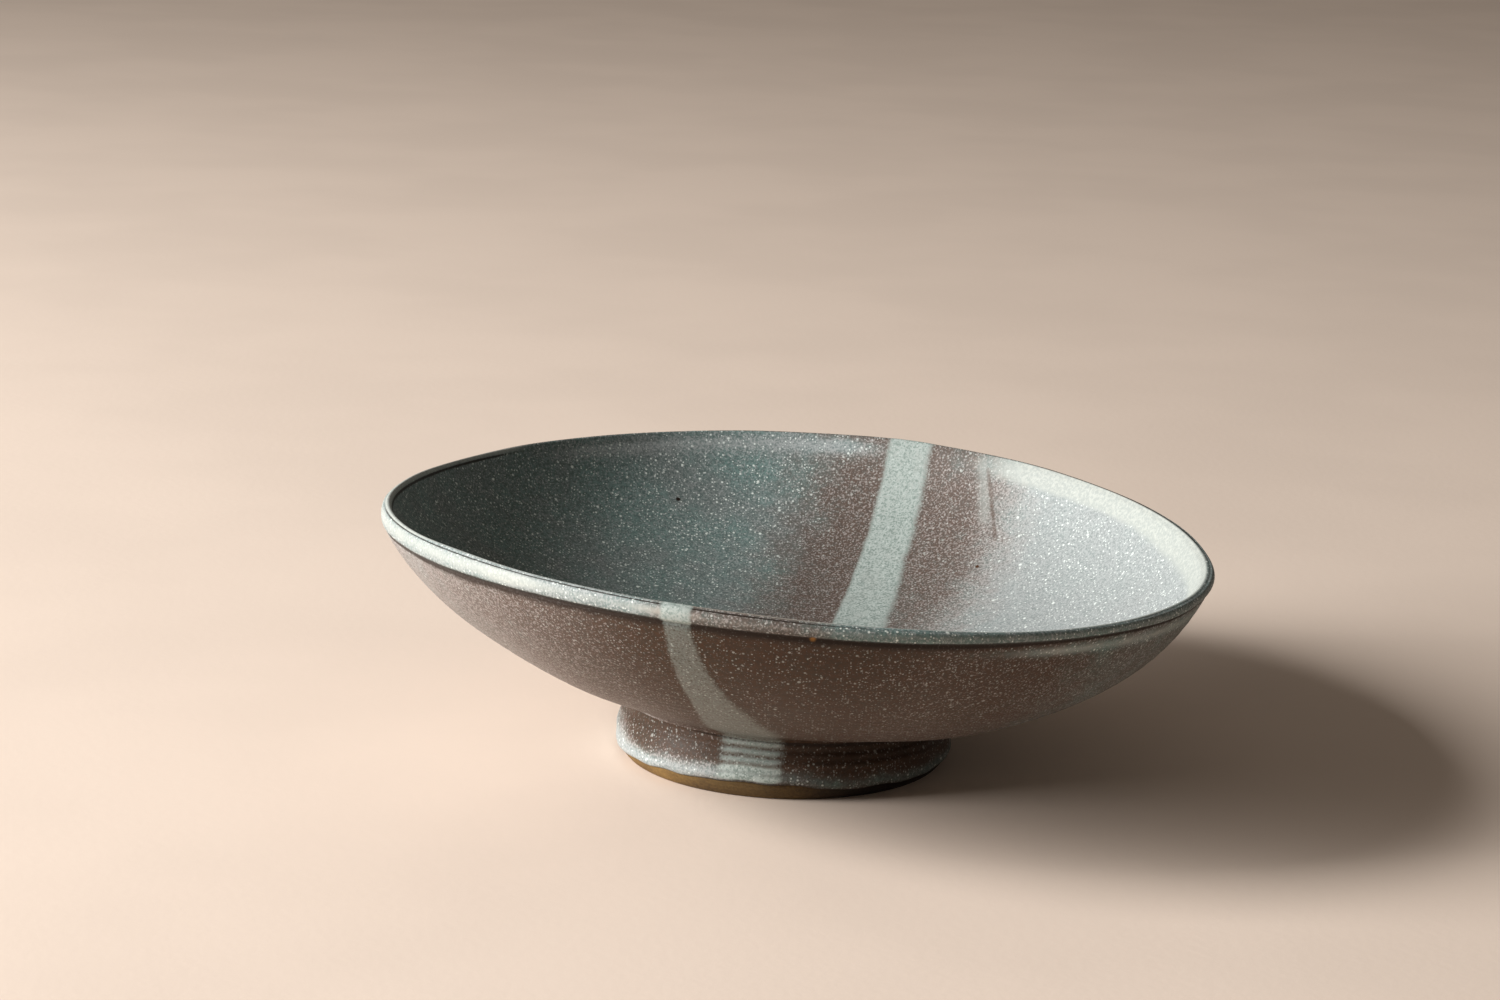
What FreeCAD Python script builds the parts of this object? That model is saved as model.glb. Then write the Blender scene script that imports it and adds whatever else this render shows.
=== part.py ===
import FreeCAD, Part
import math
import os

import Sketcher
from FreeCAD import Vector

# A wheel-thrown stoneware serving bowl on a foot ring, glazed all over but for its foot's edge.
#
# Millimetres. +Z is up, the origin is the centre of the circle that the foot stands on, and -Y is the
# front. The pot was thrown round about Z and then altered while soft: its foot stayed round, and its
# rim was pushed into a leaning oval. So every point starts as a (radius, height) of the round pot, and
# alter() moves it by an amount that grows from nothing at the neck to all of it at the rim.
#
# Three layers lie face to face: the clay, a coat of glaze over it, and a second, pale coat over that in
# one straight band across the middle, inside and out. "lift" says how far a surface stands off the clay.

DIMENSIONS = [
    ("contact_radius", 58.0, "outer radius of the flat ring that the foot stands on"),
    ("contact_width", 8.0, "width of that flat ring"),
    ("flare_radius", 61.0, "bare foot's widest radius"),
    ("flare_height", 7.0, "height of the foot's widest place"),
    ("neck_radius", 58.0, "glazed radius where the foot meets the wall"),
    ("neck_height", 18.5, "height where the glazed foot meets the glazed wall"),
    ("wax_height", 4.0, "height of the foot glaze's lower edge"),
    ("well_radius", 46.0, "radius of the hollow inside the foot, at its top"),
    ("well_height", 8.5, "height of the underside at its middle"),
    ("land_height", 14.3, "height of the underside at the hollow's edge"),
    ("slip_thickness", 0.8, "height of the slip seam that joins the foot to the basin"),
    ("disc_radius", 12.0, "radius of the flat middle of the floor and of the underside"),
    ("floor_height", 17.2, "height of the glazed floor at its middle"),
    ("floor_wall", 7.0, "clay wall's thickness at the neck"),
    ("rim_wall", 3.0, "clay wall's thickness under the lip"),
    ("glaze", 0.7, "thickness of the glaze coat"),
    ("pour", 0.4, "thickness of the pale second coat"),
    ("rim_radius", 155.0, "mean radius of the lip's outer face"),
    ("rim_height", 87.3, "mean height of the lip's top"),
    ("lip_radius", 2.1, "half of the glazed lip's thickness"),
    ("lip_height", 5.5, "mean height of the rolled lip, from its top to the groove under it"),
    ("lip_swing", 2.2, "how much taller the roll is at its tallest place than its mean"),
    ("lip_swing_angle", 180.0, "direction of the roll's tallest place, in degrees from +X"),
    ("belly_slope", 19.6, "wall's slope at the neck, in degrees from level"),
    ("belly_reach", 29.7, "how far the wall keeps that slope"),
    ("brim_slope", 64.0, "wall's slope at the groove, in degrees from level"),
    ("brim_reach", 42.4, "how far below the groove the wall begins to take that slope"),
    ("rim_shift", 1.8, "how far the rim sits off the foot's axis"),
    ("rim_shift_angle", -9.0, "direction of that shift, in degrees from +X"),
    ("rim_oval", 6.2, "how much longer than its mean the oval's long radius is"),
    ("rim_oval_angle", 106.6, "direction of the oval's long axis, in degrees from +X"),
    ("rim_lean", 6.8, "how far the leaning rim rises above its mean height"),
    ("rim_lean_angle", -136.7, "direction of the rim's high side, in degrees from +X"),
    ("rim_sway", 3.0, "height of the two low waves in the rim"),
    ("rim_sway_angle", 63.0, "direction of one of the waves, in degrees from +X"),
    ("stripe_middle_width", 22.0, "width of the pale band at the foot"),
    ("stripe_front_width", 11.0, "width of the pale band at the front rim"),
    ("stripe_back_width", 17.5, "width of the pale band at the back rim"),
    ("stripe_half_length", 175.0, "how far from the middle the band's outline is drawn"),
    ("stripe_offset", 6.0, "how far to the right of the pot's axis the band passes"),
    ("stripe_angle", -15.5, "turn of the band's back end from +Y, in degrees"),
    ("stripe_depth", 110.0, "height of the block that cuts out the band"),
]

RING_POINTS = 36
FLOOR_STEPS = 4
WALL_STEPS = 10
LIP_STEP = 30
LIP_START = -60
LIP_END = 180
LIP_ROLL = 1 - math.sin(math.radians(LIP_START))

doc = FreeCAD.newDocument("serving_bowl")
sheet = doc.addObject("Spreadsheet::Sheet", "Dimensions")
for row, (alias, value, meaning) in enumerate(DIMENSIONS, start=1):
    sheet.set(f"A{row}", meaning)
    sheet.set(f"B{row}", str(value))
    sheet.setAlias(f"B{row}", alias)
doc.recompute()


def size(alias):
    return float(sheet.get(alias))


def direction(alias):
    return math.radians(size(alias))


# ---------------------------------------------------------------- the altered pot's surfaces


def alter(radius, height, sag, angle):
    """The altered pot's point for a place on the round one; sag is its share of the lip's swing."""
    climb = (radius - size("neck_radius")) / (size("rim_radius") - size("neck_radius"))
    give = math.sin(math.pi / 2 * min(max(climb, 0), 1))
    push = size("rim_shift") * math.cos(angle - direction("rim_shift_angle"))
    push += size("rim_oval") * math.cos(2 * (angle - direction("rim_oval_angle")))
    lift = size("rim_lean") * math.cos(angle - direction("rim_lean_angle"))
    lift += size("rim_sway") * math.cos(2 * (angle - direction("rim_sway_angle")))
    swing = size("lip_swing") * math.cos(angle - direction("lip_swing_angle"))
    out = radius + give * push
    return Vector(out * math.cos(angle), out * math.sin(angle), height + give * lift - sag * swing)


def ring(place):
    """A closed curve round the altered pot, through one (radius, height, sag) of the round pot."""
    curve = Part.BSplineCurve()
    turns = [2 * math.pi * i / RING_POINTS for i in range(RING_POINTS)]
    curve.interpolate([alter(*place, angle) for angle in turns], PeriodicFlag=True)
    return Part.Wire(curve.toShape())


def corner(lift):
    """Where the wall meets the foot: glaze surfaces keep their distance from both clay faces."""
    below = size("glaze") - lift
    slope = direction("belly_slope")
    rise = below * (1 - math.sin(slope)) / math.cos(slope)
    return (size("neck_radius") - below, size("neck_height") + rise, 0)


def wall(along, depth, sag):
    """A place in the wall: along runs from the neck, 0, to the groove, 1; depth is from the outside."""
    slopes = direction("belly_slope"), direction("brim_slope")
    start = Vector(size("neck_radius"), size("neck_height"))
    end = Vector(size("rim_radius") - size("lip_radius") / 2, size("rim_height") - size("lip_height"))
    curve = Part.BezierCurve()
    curve.setPoles([
        start,
        start + Vector(math.cos(slopes[0]), math.sin(slopes[0])) * size("belly_reach"),
        end - Vector(math.cos(slopes[1]), math.sin(slopes[1])) * size("brim_reach"),
        end,
    ])
    tangent = curve.tangent(along)[0]
    point = curve.value(along) + Vector(-tangent.y, tangent.x) * depth
    return (point.x, point.y, sag * along**3)


def outer_wall(along, lift):
    return wall(along, size("glaze") - lift, sag=1)


def inner_wall(along, lift):
    clay = size("floor_wall") + (size("rim_wall") - size("floor_wall")) * along
    return wall(along, size("glaze") + clay + lift, sag=1 / LIP_ROLL)


def lip(degrees, lift):
    """A place on the rolled lip: 0 faces outwards, 90 is its top, 180 faces into the bowl."""
    turn = math.radians(degrees)
    stand = lift - size("glaze")
    share = (1 - math.sin(turn)) / LIP_ROLL
    radius = size("rim_radius") - size("lip_radius") + (size("lip_radius") + stand) * math.cos(turn)
    height = size("rim_height") - share * size("lip_height") + stand * math.sin(turn)
    return (radius, height, share)


def dish(edge, middle_height, steps):
    """Places on a shallow bowl-shaped surface, from its flat middle out to an edge."""
    rise = edge[1] - middle_height
    radii = [size("disc_radius") + (edge[0] - size("disc_radius")) * i / steps for i in range(steps)]
    return [(radius, middle_height + rise * (radius / edge[0])**2, 0) for radius in radii]


def smooth(places):
    return Part.makeLoft([ring(place) for place in places], False, False).Faces


def band(first, second):
    return Part.makeLoft([ring(first), ring(second)], False, True).Faces


def disc(place):
    return [Part.Face(ring(place))]


def inside_faces(lift):
    """The inside, from the middle of the floor up and over the lip to the groove."""
    floor_height = size("floor_height") + lift - size("glaze")
    floor = dish(inner_wall(0, lift), floor_height, FLOOR_STEPS)
    rise = [inner_wall(i / WALL_STEPS, lift) for i in range(WALL_STEPS)]
    roll = [lip(degrees, lift) for degrees in range(LIP_END, LIP_START - 1, -LIP_STEP)]
    return disc(floor[0]) + smooth(floor + rise + roll[:1]) + smooth(roll)


def outside_faces(lift):
    """The outside wall, from the neck up to the groove under the lip."""
    rise = [outer_wall(i / WALL_STEPS, lift) for i in range(1, WALL_STEPS)]
    return smooth([corner(lift)] + rise + [lip(LIP_START, lift)])


def closed_solid(faces):
    shell = Part.Shell(faces)
    shell.sewShape()
    solid = Part.makeSolid(shell)
    if solid.Volume < 0:
        solid.reverse()
    return solid


def feature(name, shape):
    made = doc.addObject("Part::Feature", name)
    made.Label = name
    made.Shape = shape
    made.Placement = FreeCAD.Placement()
    return made


def make_basin():
    """The thrown clay: floor, wall and lip, with a sloping land underneath where the foot is joined."""
    land = (size("well_radius"), size("land_height"), 0)
    underside = dish(land, size("well_height"), FLOOR_STEPS) + [land]
    faces = inside_faces(0) + outside_faces(0) + band(corner(0), land)
    faces += smooth(underside) + disc(underside[0])
    return feature("basin", closed_solid(faces))


def make_inner_coat(name, low, high):
    edge = band(lip(LIP_START, low), lip(LIP_START, high))
    return feature(name, closed_solid(inside_faces(low) + inside_faces(high) + edge))


def make_outer_coat(name, low, high):
    edges = band(lip(LIP_START, low), lip(LIP_START, high)) + band(corner(low), corner(high))
    return feature(name, closed_solid(outside_faces(low) + outside_faces(high) + edges))


# ---------------------------------------------------------------- the round foot, turned about Z


def cell(alias):
    return f"Dimensions.{alias}"


def add_sketch(body, name, plane_role):
    plane = next(item for item in body.Origin.OriginFeatures if item.Role == plane_role)
    sketch = body.newObject("Sketcher::SketchObject", name)
    sketch.AttachmentSupport = [(plane, "")]
    sketch.MapMode = "FlatFace"
    return sketch


def bind(sketch, constraint, expression):
    index = sketch.addConstraint(constraint)
    sketch.setExpression(f"Constraints[{index}]", expression)


def place_point(sketch, element, end, expressions):
    """Ties one end of a line or arc to an (x, y) given as two expressions of the sheet's cells."""
    for kind, expression in zip(("DistanceX", "DistanceY"), expressions):
        here = sketch.getPoint(element, end)
        value = here.x if kind == "DistanceX" else here.y
        if expression == "0":
            sketch.addConstraint(Sketcher.Constraint("PointOnObject", element, end, -1))
        else:
            bind(sketch, Sketcher.Constraint(kind, -1, 1, element, end, value), expression)


def evaluate(expression):
    return float(sheet.evalExpression(expression.replace("Dimensions.", "")))


def outline(sketch, corners, bulges):
    """A closed outline through corners given as expressions.

    bulges maps a side's number to the (radius, side of its centre) that makes it an arc: -1 puts the
    centre to the left of the side, +1 to its right.
    """
    points = [Vector(evaluate(x), evaluate(y)) for x, y in corners]
    for number, start in enumerate(points):
        end = points[(number + 1) % len(points)]
        if number in bulges:
            radius, hand = bulges[number]
            chord = end - start
            across = Vector(chord.y, -chord.x).normalize() * hand
            bow = evaluate(radius)
            bow -= math.sqrt(bow**2 - (chord.Length / 2)**2)
            sketch.addGeometry(Part.Arc(start, (start + end) / 2 - across * bow, end))
        else:
            sketch.addGeometry(Part.LineSegment(start, end))
    for number, expressions in enumerate(corners):
        before = (number - 1) % len(corners)
        ends = []
        for element, wanted in ((before, points[number]), (number, points[number])):
            near = sketch.getPoint(element, 1).distanceToPoint(wanted) < 1e-6
            ends.append((element, 1 if near else 2))
        (last, last_end), (this, this_end) = ends
        sketch.addConstraint(Sketcher.Constraint("Coincident", last, last_end, this, this_end))
        place_point(sketch, this, this_end, expressions)
    for number, (radius, hand) in bulges.items():
        bind(sketch, Sketcher.Constraint("Radius", number, evaluate(radius)), radius)


def turned_body(name, corners, bulges):
    body = doc.addObject("PartDesign::Body", name)
    body.Label = name
    sketch = add_sketch(body, f"{name}_outline", "XZ_Plane")
    outline(sketch, corners, bulges)
    turned = body.newObject("PartDesign::Revolution", f"{name}_turned")
    turned.Profile = sketch
    turned.ReferenceAxis = (sketch, ["V_Axis"])
    turned.Angle = 360
    return body


def foot_curve(stand):
    """Corners and radii of the foot's outer face, stand away from its clay, as expressions.

    The face swells from the contact ring to the flare on one arc, and an arc of the opposite hand,
    tangent to it, draws it in again to the neck.
    """
    slope = f"({cell('belly_slope')} * 1 deg)"
    below = f"({cell('glaze')} - {stand})"
    neck_r = f"({cell('neck_radius')} - {below})"
    neck_z = f"({cell('neck_height')} + {below} * (1 - sin({slope})) / cos({slope}))"
    flare_r = f"({cell('flare_radius')} + {stand})"
    foot_out = f"({cell('flare_radius')} - {cell('contact_radius')})"
    swell = f"({foot_out} / 2 + {cell('flare_height')}^2 / (2 * {foot_out}) + {stand})"
    draw = f"({flare_r} - {neck_r})"
    climb = f"({neck_z} - {cell('flare_height')})"
    both = f"(({draw}^2 + {climb}^2) / (2 * {draw}))"
    turn_r = f"({flare_r} - {swell} * {draw} / {both})"
    turn_z = f"({cell('flare_height')} + {swell} * {climb} / {both})"
    return {
        "neck": (neck_r, neck_z),
        "turn": (turn_r, turn_z),
        "swell": swell,
        "hollow": f"({both} - {swell})",
        "centre_r": f"({flare_r} - {swell})",
    }


def on_swell(curve, height):
    """The corner on the swelling arc at a height below the flare."""
    drop = f"({cell('flare_height')} - {height})"
    return (f"{curve['centre_r']} + sqrt({curve['swell']}^2 - {drop}^2)", height)


def make_foot_ring():
    """The foot, thrown on as a thick coil: a flat contact ring and a soft flare."""
    curve = foot_curve("0")
    corners = [
        (f"{cell('contact_radius')} - {cell('contact_width')}", "0"),
        (cell("contact_radius"), "0"),
        curve["turn"],
        (curve["neck"][0], f"{curve['neck'][1]} - {cell('slip_thickness')}"),
        (cell("well_radius"), f"{cell('land_height')} - {cell('slip_thickness')}"),
    ]
    return turned_body("foot_ring", corners, {1: (curve["swell"], -1), 2: (curve["hollow"], 1)})


def make_luting_slip():
    """The seam of slip between the scored land of the basin and the top of the foot."""
    neck_r, neck_z = foot_curve("0")["neck"]
    corners = [
        (cell("well_radius"), f"{cell('land_height')} - {cell('slip_thickness')}"),
        (neck_r, f"{neck_z} - {cell('slip_thickness')}"),
        (neck_r, neck_z),
        (cell("well_radius"), cell("land_height")),
    ]
    return turned_body("luting_slip", corners, {})


def make_foot_coat(name, low, high, bottom):
    """A coat on the foot's outer face, from the neck down to a level edge above the contact ring."""
    under, over = foot_curve(low), foot_curve(high)
    corners = [
        on_swell(under, bottom),
        on_swell(over, bottom),
        over["turn"],
        over["neck"],
        under["neck"],
        under["turn"],
    ]
    bulges = {
        1: (over["swell"], -1),
        2: (over["hollow"], 1),
        4: (under["hollow"], -1),
        5: (under["swell"], 1),
    }
    return turned_body(name, corners, bulges)


# ---------------------------------------------------------------- the pale band


def make_stripe_block():
    """An upright block over the pale band's outline: three widths, at the front, middle and back."""
    body = doc.addObject("PartDesign::Body", "stripe_block")
    sketch = add_sketch(body, "stripe_outline", "XY_Plane")
    ends = [("stripe_front_width", -1), ("stripe_middle_width", 0), ("stripe_back_width", 1)]
    right = [(size(width) / 2, end * size("stripe_half_length")) for width, end in ends]
    left = [(-x, y) for x, y in reversed(right)]
    points = [Vector(x, y) for x, y in right + left]
    for number, start in enumerate(points):
        sketch.addGeometry(Part.LineSegment(start, points[(number + 1) % len(points)]))
    for number in range(len(points)):
        after = (number + 1) % len(points)
        sketch.addConstraint(Sketcher.Constraint("Coincident", number, 2, after, 1))
    for number, (width, end) in enumerate(ends):
        mirror = len(points) - 1 - number
        sketch.addConstraint(Sketcher.Constraint("Symmetric", number, 1, mirror, 1, -2))
        across = Sketcher.Constraint("DistanceX", mirror, 1, number, 1, size(width))
        bind(sketch, across, cell(width))
        if end:
            tip = (number, 1, -1, 1) if end < 0 else (-1, 1, number, 1)
            along = Sketcher.Constraint("DistanceY", *tip, size("stripe_half_length"))
            bind(sketch, along, cell("stripe_half_length"))
        else:
            sketch.addConstraint(Sketcher.Constraint("PointOnObject", number, 1, -1))
    pad = body.newObject("PartDesign::Pad", "stripe_pad")
    pad.Profile = sketch
    pad.setExpression("Length", cell("stripe_depth"))
    body.setExpression(".Placement.Base.x", cell("stripe_offset"))
    body.setExpression(".Placement.Rotation.Angle", cell("stripe_angle"))
    return body


def cut_out(name, coat, block):
    common = doc.addObject("Part::Common", name)
    common.Label = name
    common.Base = coat
    common.Tool = block
    return common


def make_half_block(name, side):
    """A box over the front or back half of the pot, to part the band's two outside lengths."""
    box = doc.addObject("Part::Box", name)
    reach = cell("stripe_half_length")
    box.setExpression("Length", f"2 * {reach}")
    box.setExpression("Width", reach)
    box.setExpression("Height", cell("stripe_depth"))
    box.setExpression(".Placement.Base.x", f"-1 * {reach}")
    box.setExpression(".Placement.Base.y", f"-1 * {reach}" if side == "front" else "0")
    return box


# ---------------------------------------------------------------- the whole bowl

glaze_top = size("glaze")
pour_top = size("glaze") + size("pour")
glaze_cell = cell("glaze")
pour_cell = f"({cell('glaze')} + {cell('pour')})"

parts = [
    make_basin(),
    make_foot_ring(),
    make_luting_slip(),
    make_inner_coat("liner_glaze", 0, glaze_top),
    make_outer_coat("outer_glaze", 0, glaze_top),
    make_foot_coat("foot_glaze", "0", glaze_cell, cell("wax_height")),
]

stripe_block = make_stripe_block()
inner_pour = make_inner_coat("inner_pour", glaze_top, pour_top)
outer_pour = make_outer_coat("outer_pour", glaze_top, pour_top)
foot_pour = make_foot_coat("foot_pour", glaze_cell, pour_cell, cell("wax_height"))
parts.append(cut_out("stripe_inside", inner_pour, stripe_block))
outer_band = cut_out("outer_band", outer_pour, stripe_block)
foot_band = cut_out("foot_band", foot_pour, stripe_block)
for side in ("front", "back"):
    half = make_half_block(f"{side}_half", side)
    parts.append(cut_out(f"stripe_{side}", outer_band, half))
    parts.append(cut_out(f"stripe_{side}_foot", foot_band, half))

doc.recompute()

for item in doc.Objects:
    if "Invalid" in item.State or "Error" in item.State:
        raise RuntimeError(f"{item.Label}: {item.State}")

os.makedirs("parts", exist_ok=True)
for part in parts:
    shape = part.Shape
    if shape.isNull() or not shape.isValid() or not shape.Solids:
        raise RuntimeError(f"{part.Label} has no valid solid")
    shape.exportStep(f"parts/{part.Label}.step")
    print(f"{part.Label}: {len(shape.Solids)} solid, {shape.Volume / 1000:.2f} cm3, {shape.BoundBox}")
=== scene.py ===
import math

import bpy
import numpy as np
from mathutils import Matrix, Vector


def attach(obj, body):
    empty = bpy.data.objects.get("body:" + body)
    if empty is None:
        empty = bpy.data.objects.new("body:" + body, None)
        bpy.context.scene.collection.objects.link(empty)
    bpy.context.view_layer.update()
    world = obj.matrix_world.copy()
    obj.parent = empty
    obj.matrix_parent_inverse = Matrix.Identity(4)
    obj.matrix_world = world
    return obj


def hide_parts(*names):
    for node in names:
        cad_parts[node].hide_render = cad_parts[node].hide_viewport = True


# The looks of a thrown, altered and glazed stoneware bowl.
#
# Sizes are in millimetres here, and become metres where a mesh, light or camera is made. The pot was
# thrown round about Z and then altered, so every surface starts as a profile: places (radius, height,
# sag, turn) across the round pot's section, which alter() leans and stretches into the real one. sag is
# a place's share of the lip's swing, and turn is the lip's own angle in degrees: LIP_START in the groove
# under it, 90 on its top and LIP_END where it meets the inside. Directions round the pot are in degrees
# too: 0 is the right, 90 the back, 180 the left and -90 the front.

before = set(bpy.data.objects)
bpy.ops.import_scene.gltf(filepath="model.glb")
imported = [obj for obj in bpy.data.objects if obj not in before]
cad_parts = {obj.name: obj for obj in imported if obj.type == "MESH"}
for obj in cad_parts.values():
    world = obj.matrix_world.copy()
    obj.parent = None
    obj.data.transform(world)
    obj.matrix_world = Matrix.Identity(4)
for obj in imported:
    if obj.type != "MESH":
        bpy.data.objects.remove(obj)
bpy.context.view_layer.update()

MM = 0.001

# The pot's driving sizes, the same as the CAD model's.
CONTACT_RADIUS = 58.0
CONTACT_WIDTH = 8.0
FLARE_RADIUS = 61.0
FLARE_HEIGHT = 7.0
NECK_RADIUS = 58.0
NECK_HEIGHT = 18.5
WAX_HEIGHT = 4.0
WELL_RADIUS = 46.0
WELL_HEIGHT = 8.5
LAND_HEIGHT = 14.3
SLIP_THICKNESS = 0.8
FLOOR_HEIGHT = 17.2
FLOOR_WALL = 7.0
RIM_WALL = 3.0
GLAZE = 0.7
RIM_RADIUS = 155.0
RIM_HEIGHT = 87.3
LIP_RADIUS = 2.1
LIP_HEIGHT = 5.5
LIP_SWING = 2.2
LIP_SWING_ANGLE = math.radians(180)
LIP_START = -60
LIP_END = 180
LIP_ROLL = 1 - math.sin(math.radians(LIP_START))
BELLY_SLOPE = math.radians(19.6)
BELLY_REACH = 29.7
BRIM_SLOPE = math.radians(64)
BRIM_REACH = 42.4
RIM_SHIFT = 1.8
RIM_SHIFT_ANGLE = math.radians(-9)
RIM_OVAL = 6.2
RIM_OVAL_ANGLE = math.radians(106.6)
RIM_LEAN = 6.8
RIM_LEAN_ANGLE = math.radians(-136.7)
RIM_SWAY = 3.0
RIM_SWAY_ANGLE = math.radians(63)
NECK_LIFT = 3.4
NECK_LIFT_ANGLE = math.radians(-118)
NECK_LIFT_REACH = 24.0
NECK_LIFT_FADE = 8.0
BAND_FRONT_WIDTH = 11.0
BAND_MIDDLE_WIDTH = 22.0
BAND_BACK_WIDTH = 17.5
BAND_HALF_LENGTH = 175.0
BAND_OFFSET = 6.0
BAND_ANGLE = math.radians(-15.5)

# How finely the meshes are made. Rows are closer within a zone of the neck, the rim and the groove. A
# hidden side has points at every HIDDEN_STEP-th column, and at every second one where it meets a seen side.
AROUND = 512
PROFILE_STEP = 0.1
FINE_ROW = 0.3
FOOT_ROW = 0.45
NECK_ROW = 0.5
EDGE_ROW = 0.6
WALL_ROW = 1.5
NECK_ZONE = 6.0
RIM_ZONE = 9.0
GROOVE_ZONE = 1.5
HIDDEN_ROWS = 24
HIDDEN_LIP_ROWS = 10
HIDDEN_COAT_ROWS = 8
HIDDEN_STEP = 4
EDGE_STEPS = (2, HIDDEN_STEP, 2)
COARSE_STEPS = (HIDDEN_STEP, HIDDEN_STEP, HIDDEN_STEP)
CHORD = 2.0
SHARP_ANGLE = math.radians(50)
BAND_COLUMNS = 28

ANGLES = np.arange(AROUND) * 2 * np.pi / AROUND
DEGREES = (np.degrees(ANGLES) + 180) % 360 - 180


# ---------------- small helpers


def smoothstep(low, high, value):
    """0 at low, 1 at high, with a soft start and end. low may be above high."""
    share = np.clip((value - low) / (high - low), 0, 1)
    return share * share * (3 - 2 * share)


def hump(value, centre, spread):
    """A smooth rise to 1 at its centre."""
    return np.exp(-((value - centre) / spread) ** 2)


def facing(centre, reach, fade):
    """1 for the columns within reach degrees of a direction, fading to 0 over fade more degrees."""
    off = np.abs((DEGREES - centre + 180) % 360 - 180)
    return smoothstep(reach + fade, reach, off)


def ripple(path, spacing, shift=0.0):
    """Even waves along a path, from -1 to 1."""
    return np.sin(2 * np.pi * path / spacing + shift)


def waves(path, counts, length, seed):
    """Smooth random unevenness, about -1 to 1, periodic round the pot and length long across it."""
    draw = np.random.default_rng(seed)
    total = np.zeros(np.broadcast(path, ANGLES).shape)
    for count in counts:
        tilt, phase = draw.uniform(-1, 1), draw.uniform(0, 2 * np.pi)
        total += np.cos(count * ANGLES + tilt * 2 * np.pi * path / length + phase)
    return total / math.sqrt(len(counts))


def new_object(name, data):
    made = bpy.data.objects.new(name, data)
    bpy.context.scene.collection.objects.link(made)
    return made


# ---------------- the pot's surfaces


def alter(radius, height, sag, angle):
    """Where a place of the round pot went when it was altered, at an angle round it."""
    climb = np.clip((radius - NECK_RADIUS) / (RIM_RADIUS - NECK_RADIUS), 0, 1)
    give = np.sin(np.pi / 2 * climb)
    push = RIM_SHIFT * np.cos(angle - RIM_SHIFT_ANGLE)
    push = push + RIM_OVAL * np.cos(2 * (angle - RIM_OVAL_ANGLE))
    lift = RIM_LEAN * np.cos(angle - RIM_LEAN_ANGLE)
    lift = lift + RIM_SWAY * np.cos(2 * (angle - RIM_SWAY_ANGLE))
    swing = LIP_SWING * np.cos(angle - LIP_SWING_ANGLE)
    out = radius + give * push
    high = height + give * lift - sag * swing + neck_lift(radius, height, angle)
    return np.stack([out * np.cos(angle), out * np.sin(angle), high], -1)


def neck_lift(radius, height, angle):
    """The foot was pressed on unevenly, so its neck is taller at the front left."""
    side = (0.5 + 0.5 * np.cos(angle - NECK_LIFT_ANGLE))**2
    near = hump(radius, NECK_RADIUS, NECK_LIFT_REACH)
    near = near * smoothstep(NECK_RADIUS - NECK_LIFT_FADE, NECK_RADIUS, radius)
    return NECK_LIFT * side * near * smoothstep(WAX_HEIGHT, NECK_HEIGHT, height)


def places(radius, height, sag, turn):
    return np.stack(np.broadcast_arrays(radius, height, sag, turn), -1).astype(float)


def neck(lift):
    """The corner where the wall's surface meets the foot's, lift off the clay."""
    below = GLAZE - lift
    rise = below * (1 - math.sin(BELLY_SLOPE)) / math.cos(BELLY_SLOPE)
    return NECK_RADIUS - below, NECK_HEIGHT + rise


def foot_places(lift, low):
    """The foot's outer face from a height up: it swells to the flare, then an arc draws it in."""
    neck_radius, neck_height = neck(lift)
    flare_radius = FLARE_RADIUS + lift
    foot_out = FLARE_RADIUS - CONTACT_RADIUS
    swell = foot_out / 2 + FLARE_HEIGHT**2 / (2 * foot_out) + lift
    draw, climb = flare_radius - neck_radius, neck_height - FLARE_HEIGHT
    both = (draw**2 + climb**2) / (2 * draw)
    hollow = both - swell
    meet = math.asin(climb / both)
    out = np.linspace(math.asin((low - FLARE_HEIGHT) / swell), meet, 100)
    back = np.linspace(meet, 0, 100)
    radius = np.concatenate([
        flare_radius - swell + swell * np.cos(out),
        neck_radius + hollow - hollow * np.cos(back),
    ])
    height = np.concatenate([FLARE_HEIGHT + swell * np.sin(out), neck_height - hollow * np.sin(back)])
    return places(radius, height, 0, LIP_START)


def wall_curve(along, depth):
    start = np.array([NECK_RADIUS, NECK_HEIGHT])
    end = np.array([RIM_RADIUS - LIP_RADIUS / 2, RIM_HEIGHT - LIP_HEIGHT])
    low = start + BELLY_REACH * np.array([math.cos(BELLY_SLOPE), math.sin(BELLY_SLOPE)])
    high = end - BRIM_REACH * np.array([math.cos(BRIM_SLOPE), math.sin(BRIM_SLOPE)])
    t = along[:, None]
    point = (1 - t)**3 * start + 3 * (1 - t)**2 * t * low + 3 * (1 - t) * t**2 * high + t**3 * end
    run = (1 - t)**2 * (low - start) + 2 * (1 - t) * t * (high - low) + t**2 * (end - high)
    run /= np.linalg.norm(run, axis=1)[:, None]
    return point[:, 0] - run[:, 1] * depth, point[:, 1] + run[:, 0] * depth


def outer_wall_places(lift):
    along = np.linspace(0, 1, 300)
    radius, height = wall_curve(along, GLAZE - lift)
    radius[0], height[0] = neck(lift)
    return places(radius, height, along**3, LIP_START)


def lip_places(lift):
    turn = np.linspace(LIP_START, LIP_END, 120)
    facing_up = np.sin(np.radians(turn))
    stand = lift - GLAZE
    share = (1 - facing_up) / LIP_ROLL
    radius = RIM_RADIUS - LIP_RADIUS + (LIP_RADIUS + stand) * np.cos(np.radians(turn))
    return places(radius, RIM_HEIGHT - share * LIP_HEIGHT + stand * facing_up, share, turn)


def inner_wall_places(lift):
    along = np.linspace(1, 0, 300)
    clay = FLOOR_WALL + (RIM_WALL - FLOOR_WALL) * along
    radius, height = wall_curve(along, GLAZE + clay + lift)
    return places(radius, height, along**3 / LIP_ROLL, LIP_END)


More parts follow.
